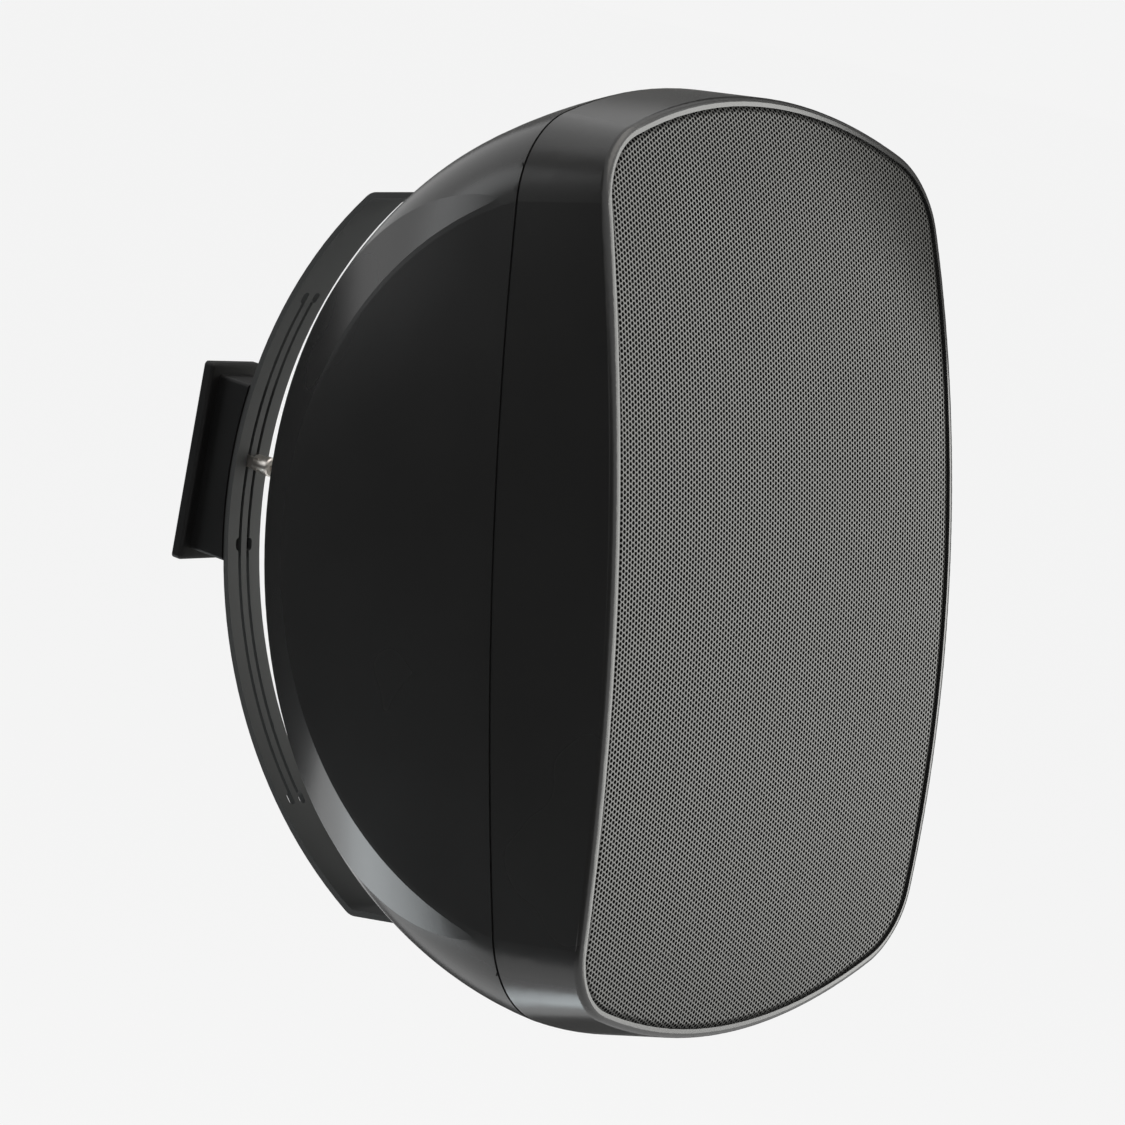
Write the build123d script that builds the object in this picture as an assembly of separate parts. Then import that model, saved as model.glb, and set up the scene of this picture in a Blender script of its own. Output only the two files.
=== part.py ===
"""Outdoor patio speaker carried by a curved bow on a wall base, in millimetres.

The housing is drawn upright in the speaker frame: X to the right seen from the front, Y backwards,
Z up, with the origin on the front of the grille. The finished part stands in the wall frame: its
origin is on the wall base's back face, straight behind the clamp, the wall is at +Y and +Z is up.
The speaker hangs in front of the wall and aims a little upwards.
"""
import os
from functools import cache
from math import cos, radians, sin, sqrt

from build123d import *

os.makedirs("parts", exist_ok=True)

# Rear shell: a drum turned about a crosswise axis, cut off at the parting plane
AXIS_Y = 24.6
SHELL_RADIUS = 184.8
SHELL_HALF_WIDTH = 116.2
SHELL_CROWN = 247.0
SIDE_CROWN = 1280.0
SHELL_CORNER = 40.0
PARTING_Y = 53.0
WALL = 4.0

# Side panels with their crescent chamfer, widest at the back
PANEL_RADIUS = 139.0
CRESCENT_RADIUS = 172.0
CRESCENT_TILT = 8.0
CRESCENT_SWEEP = 80.0

# Front bezel and its front outline
FRONT_Y = -2.0
FRONT_SIDE_DRAFT = 3.4
FRONT_TOP_DRAFT = 6.4
PARTING_HALF_HEIGHT = sqrt(SHELL_RADIUS ** 2 - (PARTING_Y - AXIS_Y) ** 2)
FRONT_HALF_WIDTH = SHELL_HALF_WIDTH - FRONT_SIDE_DRAFT
FRONT_HALF_HEIGHT = PARTING_HALF_HEIGHT - FRONT_TOP_DRAFT
FRONT_TOP_CROWN = 257.0
FRONT_SIDE_CROWN = 3300.0
FRONT_CORNER = 29.0
BAFFLE_Y = 26.0
BAFFLE_THICKNESS = 6.0
GASKET_THICKNESS = 1.0
GASKET_WIDTH = 2.4
SEAM_DEPTH = 0.9

# Bezel lip and grille: a punched sheet, bent from top to bottom only, let into the lip
GRILLE_BOW = 19.25
GRILLE_BEND = (FRONT_HALF_HEIGHT ** 2 + GRILLE_BOW ** 2) / (2 * GRILLE_BOW)
GRILLE_SHEET = 1.2
LIP_WIDTH = 3.4
LIP_ROUND = 2.6
GRILLE_RECESS = 1.2
LEDGE_WIDTH = 3.0
LEDGE_DEPTH = 1.5
FIT = 0.15

# Housing screws and their posts
POST_RADIUS = 5.0
POST_INSET = 11.5
POST_SIDE_LOW = 22.0
POST_SIDE_HIGH = 128.0
POST_DEPTH = 28.0
SCREW_RADIUS = 1.9
SCREW_HEAD_RADIUS = 3.5
SCREW_HEAD_HEIGHT = 2.5
SCREW_BITE = 20.0

# Mounting bow; its arms lie a little below the shell's height at the pivots
PIVOT_Y = 128.0
ARM_SINK = 3.0
BOW_CENTRE_Y = 105.7
BOW_CENTRE_Z = -7.2
BOW_RADIUS = 183.2
BOW_HALF_HEIGHT = sqrt(SHELL_RADIUS ** 2 - (PIVOT_Y - AXIS_Y) ** 2) - ARM_SINK
BOW_WIDTH = 19.6
BOW_THICKNESS = 2.6
BOW_BEND = 6.0
SLOT_OFFSET = 2.5
SLOT_WIDTH = 1.7
SLOT_REACH = 36.0
ENTRY_WIDTH = 3.2
ENTRY_LENGTH = 5.5

# Pivots between the bow's arms and the shell
PIVOT_SHANK = 4.0
PIVOT_CLEARANCE = 0.3
PIVOT_HEAD_RADIUS = 7.5
PIVOT_HEAD_HEIGHT = 5.0
PIVOT_SOCKET = 5.0
PIVOT_DEPTH = 16.0
WASHER_RADIUS = 9.5
WASHER_THICKNESS = 1.2
INSERT_RADIUS = 6.5
PIVOT_BOSS_RADIUS = 10.5
PAN_LIMIT = 35.0
ARM_ROOM = 2.5

# Wall base, clamp fork and clamp screw
AIM_UP = 11.5
BASE_LENGTH = 87.0
BASE_WIDTH = 31.0
BASE_FLANGE = 5.0
BASE_FLANGE_ROUND = 1.8
BLOCK_LENGTH = 77.0
BLOCK_WIDTH = 21.0
BLOCK_DEPTH = 14.6
BASE_DROP = 4.9
SADDLE_RISE = 6.0
BLOCK_ROUND = 1.5
BOW_CLEARANCE = 0.3
WALL_HOLE_RADIUS = 2.6
WALL_HOLE_SPACING = 56.0
WALL_HEAD_RADIUS = 5.2
WALL_HEAD_SEAT = 9.0
LEG_THICKNESS = 1.1
LEG_WIDTH = 5.0
LEG_ANCHOR = 11.0
PRONG_HEIGHT = 3.0
STUD_RADIUS = 3.6
STUD_HEIGHT = 5.5
RING_RADIUS = 4.1
RING_HEIGHT = 3.5
CLAMP_SCREW_RADIUS = 1.6
CLAMP_SCREW_SOCKET = 2.0
FORK_PIN_RADIUS = 1.5
FORK_PIN_DEPTH = 6.0
FORK_PIN_LENGTH = 13.0

# Woofer, measured from the front of the baffle
WOOFER_FLANGE_RADIUS = SHELL_HALF_WIDTH - 18.2
WOOFER_Z = WOOFER_FLANGE_RADIUS + 20.2 - FRONT_HALF_HEIGHT
WOOFER_FLANGE = 5.0
WOOFER_OPENING = WOOFER_FLANGE_RADIUS - 14.0
WOOFER_CUTOUT = WOOFER_FLANGE_RADIUS - 9.0
BASKET_WALL = 3.0
BASKET_BACK_Y = 74.0
BASKET_BACK_RADIUS = 52.0
BASKET_WINDOWS = 6
WINDOW_ANGLE = 38.0
SPIDER_Y = 60.0
SPIDER_SHEET = 0.8
LEDGE_INNER = 46.0
LEDGE_THICKNESS = 2.5
CONE_RADIUS = WOOFER_FLANGE_RADIUS - 26.0
CONE_Y = 24.0
CONE_NECK_Y = 52.0
PAPER = 1.2
SOFT_GAP = 0.3
COIL_RADIUS = 13.4
COIL_SHEET = 0.7
COIL_END_Y = 90.0
CAP_RADIUS = 30.0
CAP_HEIGHT = 8.5
POLE_RADIUS = 12.5
TOP_PLATE_BORE = 15.2
PLATE_RADIUS = 50.0
PLATE_THICKNESS = 6.0
MAGNET_RADIUS = 56.0
MAGNET_BORE = 24.0
MAGNET_THICKNESS = 18.0
WOOFER_GASKET = 1.5
WOOFER_GASKET_RADIUS = WOOFER_FLANGE_RADIUS - 9.0
WOOFER_BOLT_CIRCLE = WOOFER_FLANGE_RADIUS - 4.5
WOOFER_SCREWS = 8

# Tweeter, midway between the woofer and the top of the front
TWEETER_Z = (WOOFER_Z + WOOFER_FLANGE_RADIUS + FRONT_HALF_HEIGHT) / 2
TWEETER_RADIUS = 39.0
TWEETER_PLATE = 4.0
TWEETER_CUTOUT = 27.5
TWEETER_CAN_RADIUS = 26.0
TWEETER_CAN_DEPTH = 22.0
DOME_RADIUS = 12.5
DOME_HEIGHT = 5.0
DOME_SHEET = 0.6
DOME_SURROUND = 2.6
TWEETER_BOLT_CIRCLE = 34.0

# Terminal tray in the back of the shell
TRAY_SINK = 5.4
TRAY_SEAT_Y = AXIS_Y + SHELL_RADIUS - TRAY_SINK
TRAY_WIDTH = 78.0
TRAY_HEIGHT = 56.0
TRAY_DEPTH = 20.0
TRAY_WALL = 2.5
TRAY_FLANGE = 7.0
TRAY_FIT = 0.5
TRAY_GASKET = 0.5
TRAY_SEAT_WALL = 7.0
TERMINAL_SPACING = 26.0
TERMINAL_RADIUS = 3.0
TERMINAL_TAIL = 6.0
COLLAR_RADIUS = 7.0
COLLAR_HEIGHT = 3.0
NUT_RADIUS = 7.5
NUT_HEIGHT = 11.0
NUT_CLEARANCE = 0.3
NUT_FLUTES = 10

# Crossover behind the woofer, carried by the tray
BOARD_WIDTH = 100.0
BOARD_HEIGHT = 70.0
BOARD_THICKNESS = 1.6
SPACER_LENGTH = 14.0
SPACER_RADIUS = 3.5
SPACER_X = 28.0
SPACER_Z = 20.0
COIL_PART_RADIUS = 16.0
COIL_PART_BORE = 7.0
COIL_PART_HEIGHT = 14.0
CAPACITOR_RADIUS = 7.0
CAPACITOR_LENGTH = 32.0
RESISTOR_SIZE = (28.0, 8.0, 9.0)


def slab(sketch, front, back):
    """Extrude an X-Z sketch from one depth to another."""
    return extrude(Plane.XZ.offset(-front) * sketch, -(back - front))


def rod(radius, front, back, x=0.0, z=0.0):
    return slab(Pos(x, z) * Circle(radius), front, back)


def turned(profile, z=0.0):
    """Revolve a radius-depth sketch about the line of sight at height z."""
    return Pos(0, 0, z) * revolve(profile, Axis.Y, 360)


def band(inner, outer, front, back):
    """Rectangle of a ring's section, for turned()."""
    return Pos((inner + outer) / 2, (front + back) / 2) * Rectangle(outer - inner, back - front)


def ring(inner, outer, front, back, z=0.0):
    return turned(band(inner, outer, front, back), z)


def upright(sketch, low, high):
    return extrude(Plane.XY.offset(low) * sketch, high - low)


def both_sides(shape):
    return shape + mirror(shape, Plane.YZ)


def crowned(half_width, half_height, side_crown, top_crown, corner):
    """Closed outline of four shallow arcs with rounded corners."""
    tops = [Pos(0, s * (half_height - top_crown)) * Circle(top_crown) for s in (1, -1)]
    sides = [Pos(s * (half_width - side_crown), 0) * Circle(side_crown) for s in (1, -1)]
    shape = tops[0] & tops[1] & sides[0] & sides[1]
    return fillet(shape.vertices(), corner)


@cache
def drum(inset):
    """The whole turned drum, drawn in by an inset."""
    radius = SHELL_RADIUS - inset
    half_width = SHELL_HALF_WIDTH - inset
    crown = SHELL_CROWN - inset
    side = SIDE_CROWN - inset
    shape = Pos(0, radius - crown) * Circle(crown)
    for s in (1, -1):
        shape &= Pos(s * (half_width - side), 0) * Circle(side)
    shape &= Pos(0, radius / 2) * Rectangle(2 * half_width, radius)
    shape = fillet(shape.vertices().sort_by(Axis.Y)[-2:], SHELL_CORNER - inset)
    return Pos(0, AXIS_Y, 0) * Rot(180, 0, 0) * revolve(shape, Axis.X, 360)


def behind(front):
    depth = 2 * SHELL_RADIUS
    return slab(Rectangle(4 * SHELL_RADIUS, 4 * SHELL_RADIUS), front, front + depth)


@cache
def crescent_waste():
    """What is cut away between a side panel's edge and the tilted crescent line, on the right-hand side."""
    sag = SIDE_CROWN - sqrt(SIDE_CROWN ** 2 - PANEL_RADIUS ** 2)
    origin = (SHELL_HALF_WIDTH - sag, AXIS_Y, 0)
    tilt = radians(CRESCENT_TILT)
    panel = Plane(origin, x_dir=(0, 1, 0), z_dir=(1, 0, 0))
    tilted = Plane(origin, x_dir=(-sin(tilt), cos(tilt), 0), z_dir=(cos(tilt), sin(tilt), 0))

    def segment(radius):
        arc = CenterArc((0, 0), radius, -CRESCENT_SWEEP, 2 * CRESCENT_SWEEP)
        return make_face([arc, Line(arc @ 1, arc @ 0)])

    reach = 2 * SHELL_RADIUS
    inner = panel * segment(PANEL_RADIUS)
    outer = tilted * segment(CRESCENT_RADIUS)
    kept = loft([inner, outer], ruled=True) + extrude(inner, SHELL_HALF_WIDTH)
    start = (PARTING_Y - AXIS_Y) * 0.9
    waste = extrude(tilted * Pos(start + reach / 2, 0) * Rectangle(reach, 2 * reach), SHELL_HALF_WIDTH)
    return waste - kept


@cache
def front_form(inset):
    """The bezel's tapered body from the parting plane to the front, drawn in by an inset."""
    section = (drum(inset) & behind(PARTING_Y)).faces().sort_by(Axis.Y)[0]
    outline = crowned(FRONT_HALF_WIDTH - inset, FRONT_HALF_HEIGHT - inset, FRONT_SIDE_CROWN - inset,
                      FRONT_TOP_CROWN - inset, FRONT_CORNER - inset)
    front = Plane.XZ.offset(-FRONT_Y) * outline
    return loft([section, front.faces()[0]], ruled=True)


@cache
def behind_grille(depth):
    """Everything deeper than the bent front surface by a depth."""
    radius = GRILLE_BEND - depth
    barrel = Cylinder(radius, 4 * SHELL_HALF_WIDTH, rotation=(0, 90, 0))
    return Pos(0, GRILLE_BEND, 0) * barrel


def side_x(z):
    """Half-width of the parting outline at height z."""
    return SHELL_HALF_WIDTH - SIDE_CROWN + sqrt(SIDE_CROWN ** 2 - z ** 2)


def post_places():
    top = PARTING_HALF_HEIGHT - POST_INSET
    places = [(0.0, top), (0.0, -top)]
    for z in (POST_SIDE_LOW, POST_SIDE_HIGH, -POST_SIDE_HIGH):
        places += [(s * (side_x(z) - POST_INSET), z) for s in (1, -1)]
    return places


def post(place, radius, front, back):
    """A screw post that grows outwards into the wall."""
    x, z = place
    outward = Vector(x, z).normalized() * (2 * POST_INSET)
    foot = Pos(x, z) * Circle(radius)
    web = Pos(x + outward.X, z + outward.Y) * Circle(radius)
    return slab(make_hull(foot.edges() + web.edges()), front, back)


# Bow arms, pivot landings and where the washers lie
ARM_TOP = BOW_CENTRE_Z + BOW_HALF_HEIGHT
ARM_BOTTOM = BOW_CENTRE_Z - BOW_HALF_HEIGHT
LANDING_TOP = ARM_TOP - BOW_THICKNESS - WASHER_THICKNESS
LANDING_BOTTOM = ARM_BOTTOM + BOW_THICKNESS + WASHER_THICKNESS


def arm_sweep(room):
    """Plan of the space that an arm sweeps over the shell, with some room round it."""
    radius = BOW_WIDTH / 2 + room
    circles = [Pos(0, PIVOT_Y) * Circle(radius)]
    for turn in (-PAN_LIMIT, 0, PAN_LIMIT):
        reach = SHELL_RADIUS / 2
        place = Pos(reach * sin(radians(turn)), PIVOT_Y + reach * cos(radians(turn)))
        circles.append(place * Circle(radius))
    return make_hull([edge for circle in circles for edge in circle.edges()])


def rear_shell(outer):
    tall = SHELL_RADIUS
    inner = drum(WALL) & behind(PARTING_Y)
    shift = Pos(-WALL, -WALL / 2, 0) * crescent_waste()
    inner -= both_sides(shift)
    shell = outer - inner

    pockets = upright(arm_sweep(ARM_ROOM), LANDING_TOP, LANDING_TOP + tall)
    pockets += upright(arm_sweep(ARM_ROOM), LANDING_BOTTOM - tall, LANDING_BOTTOM)
    linings = upright(arm_sweep(ARM_ROOM + WALL), LANDING_TOP - WALL, LANDING_TOP + tall)
    linings += upright(arm_sweep(ARM_ROOM + WALL), LANDING_BOTTOM - tall, LANDING_BOTTOM + WALL)
    boss = Pos(0, PIVOT_Y) * Circle(PIVOT_BOSS_RADIUS)
    bosses = upright(boss, LANDING_TOP - PIVOT_DEPTH, LANDING_TOP)
    bosses += upright(boss, LANDING_BOTTOM, LANDING_BOTTOM + PIVOT_DEPTH)

    seat = Rectangle(TRAY_WIDTH + 2 * TRAY_FLANGE, TRAY_HEIGHT + 2 * TRAY_FLANGE)
    frame = slab(offset(seat, WALL), TRAY_SEAT_Y - TRAY_SEAT_WALL, TRAY_SEAT_Y + tall)
    posts = [post(p, POST_RADIUS, PARTING_Y, PARTING_Y + POST_DEPTH) for p in post_places()]
    shell += (linings + frame + posts) & outer
    shell += bosses

    shell -= pockets
    shell -= slab(offset(seat, TRAY_FIT), TRAY_SEAT_Y, TRAY_SEAT_Y + tall)
    mouth = Rectangle(TRAY_WIDTH + 2 * TRAY_FIT, TRAY_HEIGHT + 2 * TRAY_FIT)
    shell -= slab(mouth, TRAY_SEAT_Y - tall / 2, TRAY_SEAT_Y + tall)
    for x, z in post_places():
        shell -= rod(SCREW_RADIUS, PARTING_Y, PARTING_Y + SCREW_BITE, x, z)
    insert = Pos(0, PIVOT_Y) * Circle(INSERT_RADIUS)
    shell -= upright(insert, LANDING_TOP - PIVOT_DEPTH, LANDING_TOP)
    shell -= upright(insert, LANDING_BOTTOM, LANDING_BOTTOM + PIVOT_DEPTH)
    for x, z in tray_screws():
        shell -= rod(SCREW_RADIUS, TRAY_SEAT_Y - TRAY_SEAT_WALL, TRAY_SEAT_Y, x, z)
    return shell


def front_bezel():
    seam = PARTING_Y - GASKET_THICKNESS
    seat = GRILLE_RECESS + GRILLE_SHEET
    body = front_form(0) & behind_grille(0)
    lip = body.faces().sort_by(Axis.Y)[0]
    bezel = fillet(lip.edges(), LIP_ROUND)
    bezel -= front_form(LIP_WIDTH) - behind_grille(seat)
    bezel -= front_form(LIP_WIDTH + LEDGE_WIDTH) - behind_grille(seat + LEDGE_DEPTH)
    hollow = front_form(WALL) & behind_grille(seat + LEDGE_DEPTH)
    bezel -= hollow
    whole = Rectangle(4 * SHELL_RADIUS, 4 * SHELL_RADIUS)
    bezel += hollow & slab(whole, BAFFLE_Y, BAFFLE_Y + BAFFLE_THICKNESS)
    posts = [post(p, POST_RADIUS, BAFFLE_Y + BAFFLE_THICKNESS, PARTING_Y) for p in post_places()]
    bezel += (Part() + posts) & front_form(0)
    bezel -= behind(seam)
    bezel -= rod(WOOFER_CUTOUT, BAFFLE_Y, seam, z=WOOFER_Z)
    bezel -= rod(TWEETER_CUTOUT, BAFFLE_Y, seam, z=TWEETER_Z)
    for x, z in post_places():
        bezel -= rod(SCREW_RADIUS, BAFFLE_Y, seam, x, z)
    for x, z in circle_places(WOOFER_SCREWS, WOOFER_BOLT_CIRCLE, WOOFER_Z):
        bezel -= rod(SCREW_RADIUS, BAFFLE_Y, BAFFLE_Y + BAFFLE_THICKNESS, x, z)
    for x, z in circle_places(4, TWEETER_BOLT_CIRCLE, TWEETER_Z):
        bezel -= rod(SCREW_RADIUS, BAFFLE_Y, BAFFLE_Y + BAFFLE_THICKNESS, x, z)
    return bezel


def grille():
    sheet = front_form(LIP_WIDTH + FIT) & behind_grille(GRILLE_RECESS)
    return sheet - behind_grille(GRILLE_RECESS + GRILLE_SHEET)


def circle_places(count, radius, z):
    turns = [radians(360.0 / count * (k + 0.5)) for k in range(count)]
    return [(radius * cos(turn), z + radius * sin(turn)) for turn in turns]


def tray_screws():
    x = (TRAY_WIDTH + TRAY_FLANGE) / 2
    z = (TRAY_HEIGHT + TRAY_FLANGE) / 2
    return [(sx * x, sz * z) for sx in (1, -1) for sz in (1, -1)]


def screw(x, z, seat, tip, head_back=False):
    """A pan-head screw along Y; the head lies in front of its seat, or behind it."""
    side = 1 if head_back else -1
    shank = rod(SCREW_RADIUS, min(seat, tip), max(seat, tip), x, z)
    top = seat + side * SCREW_HEAD_HEIGHT
    head = rod(SCREW_HEAD_RADIUS, min(seat, top), max(seat, top), x, z)
    rim = head.faces().sort_by(Axis.Y)[-1 if head_back else 0]
    return shank + fillet(rim.edges(), SCREW_HEAD_HEIGHT / 3)


def bow_edge(shift):
    """One long edge of the bow's side view, as (y, z) pieces from the top arm to the bottom arm."""
    radius = BOW_RADIUS + shift
    bend = BOW_BEND + BOW_THICKNESS + shift
    level = BOW_HALF_HEIGHT + shift
    rise = level - bend
    run = sqrt((radius - bend) ** 2 - rise ** 2)
    lift = Vector(run, rise).normalized()
    knee = Vector(BOW_CENTRE_Y + run, BOW_CENTRE_Z + rise)
    start = Vector(knee.X, BOW_CENTRE_Z + level)
    middle = knee + (Vector(0, 1) + lift).normalized() * bend
    end = Vector(BOW_CENTRE_Y, BOW_CENTRE_Z) + lift * radius

    def below(point):
        return Vector(point.X, 2 * BOW_CENTRE_Z - point.Y)

    tip = Vector(PIVOT_Y - BOW_WIDTH, start.Y)
    return [
        Line(tip, start),
        ThreePointArc(start, middle, end),
        ThreePointArc(end, Vector(BOW_CENTRE_Y + radius, BOW_CENTRE_Z), below(end)),
        ThreePointArc(below(end), below(middle), below(start)),
        Line(below(start), below(tip)),
    ]


def mounting_bow():
    outer = bow_edge(0)
    inner = bow_edge(-BOW_THICKNESS)
    ends = [Line(outer[0] @ 0, inner[0] @ 0), Line(outer[-1] @ 1, inner[-1] @ 1)]
    side = Plane.YZ * make_face(outer + inner + ends)
    bow = extrude(side, BOW_WIDTH / 2, both=True)
    plan = Pos(0, PIVOT_Y) * Circle(BOW_WIDTH / 2)
    length = BOW_CENTRE_Y + BOW_RADIUS + BOW_WIDTH - PIVOT_Y
    plan += Pos(0, PIVOT_Y + length / 2) * Rectangle(BOW_WIDTH, length)
    bow &= upright(plan, ARM_BOTTOM - BOW_THICKNESS, ARM_TOP + BOW_THICKNESS)
    hole = Pos(0, PIVOT_Y) * Circle(PIVOT_SHANK + PIVOT_CLEARANCE)
    bow -= upright(hole, ARM_BOTTOM - BOW_THICKNESS, ARM_TOP + BOW_THICKNESS)

    centre = Pos(0, BOW_CENTRE_Y, BOW_CENTRE_Z)
    for s in (1, -1):
        track = Circle(BOW_RADIUS + BOW_THICKNESS) - Circle(BOW_RADIUS - 2 * BOW_THICKNESS)
        reach = 2 * BOW_RADIUS
        rise = reach * sin(radians(SLOT_REACH))
        run = reach * cos(radians(SLOT_REACH))
        track &= make_face(Polyline((0, 0), (run, rise), (run, -rise), close=True))
        slot = extrude(Plane.YZ * track, SLOT_WIDTH / 2, both=True)
        bow -= centre * Pos(s * SLOT_OFFSET, 0, 0) * slot
        for angle in (-SLOT_REACH, 0, SLOT_REACH):
            entry = SlotOverall(ENTRY_LENGTH, ENTRY_WIDTH, rotation=90)
            cut = slab(entry, BOW_RADIUS - 2 * BOW_THICKNESS, BOW_RADIUS + BOW_THICKNESS)
            aside = s * (SLOT_OFFSET + (ENTRY_WIDTH - SLOT_WIDTH) / 2)
            bow -= centre * Rot(angle, 0, 0) * Pos(aside, 0, 0) * cut
    return bow


def pivot_bolt(top):
    """Shoulder bolt down through an arm into the shell; the lower one is its mirror image."""
    arm = ARM_TOP if top else -ARM_BOTTOM
    landing = LANDING_TOP if top else -LANDING_BOTTOM
    axis = Pos(0, PIVOT_Y)
    under = arm + PIVOT_CLEARANCE
    head = upright(axis * Circle(PIVOT_HEAD_RADIUS), under, under + PIVOT_HEAD_HEIGHT)
    head = fillet(head.faces().sort_by(Axis.Z)[-1].edges(), PIVOT_HEAD_HEIGHT / 3)
    socket = upright(axis * RegularPolygon(PIVOT_SOCKET / 2, 6, major_radius=False),
                     arm + PIVOT_CLEARANCE + PIVOT_HEAD_HEIGHT * 0.4, arm + 2 * PIVOT_HEAD_HEIGHT)
    shank = upright(axis * Circle(PIVOT_SHANK), landing - PIVOT_DEPTH, arm + PIVOT_CLEARANCE)
    bolt = head + shank - socket
    return bolt if top else mirror(bolt, Plane.XY)


def pivot_washer(low):
    plan = Pos(0, PIVOT_Y) * (Circle(WASHER_RADIUS) - Circle(PIVOT_SHANK))
    return upright(plan, low, low + WASHER_THICKNESS - PIVOT_CLEARANCE)


def pivot_insert(low):
    plan = Pos(0, PIVOT_Y) * (Circle(INSERT_RADIUS) - Circle(PIVOT_SHANK))
    return upright(plan, low, low + PIVOT_DEPTH)


# Wall frame: depths are measured from the wall towards the room, so they become negative Y
BASE_DEPTH = BASE_FLANGE + BLOCK_DEPTH
BOW_OUTER_Y = -(BASE_DEPTH + BOW_CLEARANCE)
BOW_INNER_Y = BOW_OUTER_Y - BOW_THICKNESS
STUD_Y = BOW_INNER_Y - PRONG_HEIGHT
LEG_FOOT_Y = -(BASE_DEPTH - LEG_ANCHOR)


def wall_base():
    """Flange and block; the block's front is a saddle for the bow, which slides round its own centre."""
    front = -(BASE_DEPTH + SADDLE_RISE)
    flange = slab(RectangleRounded(BASE_WIDTH, BASE_LENGTH, BASE_FLANGE_ROUND), -BASE_FLANGE, 0)
    flange = fillet(flange.faces().sort_by(Axis.Y)[0].edges(), BASE_FLANGE_ROUND * 0.9)
    base = flange + slab(RectangleRounded(BLOCK_WIDTH, BLOCK_LENGTH, BLOCK_ROUND), front, -BASE_FLANGE / 2)
    for s in (1, -1):
        z = s * WALL_HOLE_SPACING / 2
        base -= rod(WALL_HOLE_RADIUS, front, 0, z=z)
        base -= rod(WALL_HEAD_RADIUS, front, -WALL_HEAD_SEAT, z=z)
    base = Pos(0, 0, -BASE_DROP) * base
    saddle = Cylinder(BOW_RADIUS + BOW_CLEARANCE, 2 * BASE_WIDTH, rotation=(0, 90, 0))
    base -= Pos(0, BOW_OUTER_Y - BOW_RADIUS, 0) * saddle
    for s in (1, -1):
        base -= slab(Pos(s * SLOT_OFFSET, 0) * Rectangle(LEG_THICKNESS, LEG_WIDTH), front, LEG_FOOT_Y)
    return base - fork_pin()


def fork_pin():
    pin = Cylinder(FORK_PIN_RADIUS, FORK_PIN_LENGTH, rotation=(0, 90, 0))
    return Pos(0, -(BASE_DEPTH - FORK_PIN_DEPTH), 0) * pin


def clamp_screw():
    tip = BOW_INNER_Y - BOW_CLEARANCE
    end = STUD_Y - STUD_HEIGHT - RING_HEIGHT / 2
    body = rod(CLAMP_SCREW_RADIUS, end, tip)
    socket = RegularPolygon(CLAMP_SCREW_SOCKET / 2, 6, major_radius=False)
    return body - slab(socket, end, end + STUD_HEIGHT / 2)


def clamp_fork():
    fork = rod(STUD_RADIUS, STUD_Y - STUD_HEIGHT, STUD_Y)
    collar = rod(RING_RADIUS, STUD_Y - STUD_HEIGHT - RING_HEIGHT, STUD_Y - STUD_HEIGHT)
    fork += chamfer(collar.faces().sort_by(Axis.Y)[0].edges(), RING_HEIGHT / 6)
    for s in (1, -1):
        leg = Pos(s * SLOT_OFFSET, 0) * Rectangle(LEG_THICKNESS, LEG_WIDTH)
        fork += slab(leg, STUD_Y - STUD_HEIGHT / 2, LEG_FOOT_Y)
    fork -= rod(CLAMP_SCREW_RADIUS, STUD_Y - STUD_HEIGHT - RING_HEIGHT, STUD_Y)
    return fork - fork_pin()


def basket_radius(y):
    """Outer radius of the basket's cone at a depth."""
    front = BAFFLE_Y
    share = (y - front) / (BASKET_BACK_Y - front)
    return WOOFER_CUTOUT - 1 + share * (BASKET_BACK_RADIUS - WOOFER_CUTOUT + 1)


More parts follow.
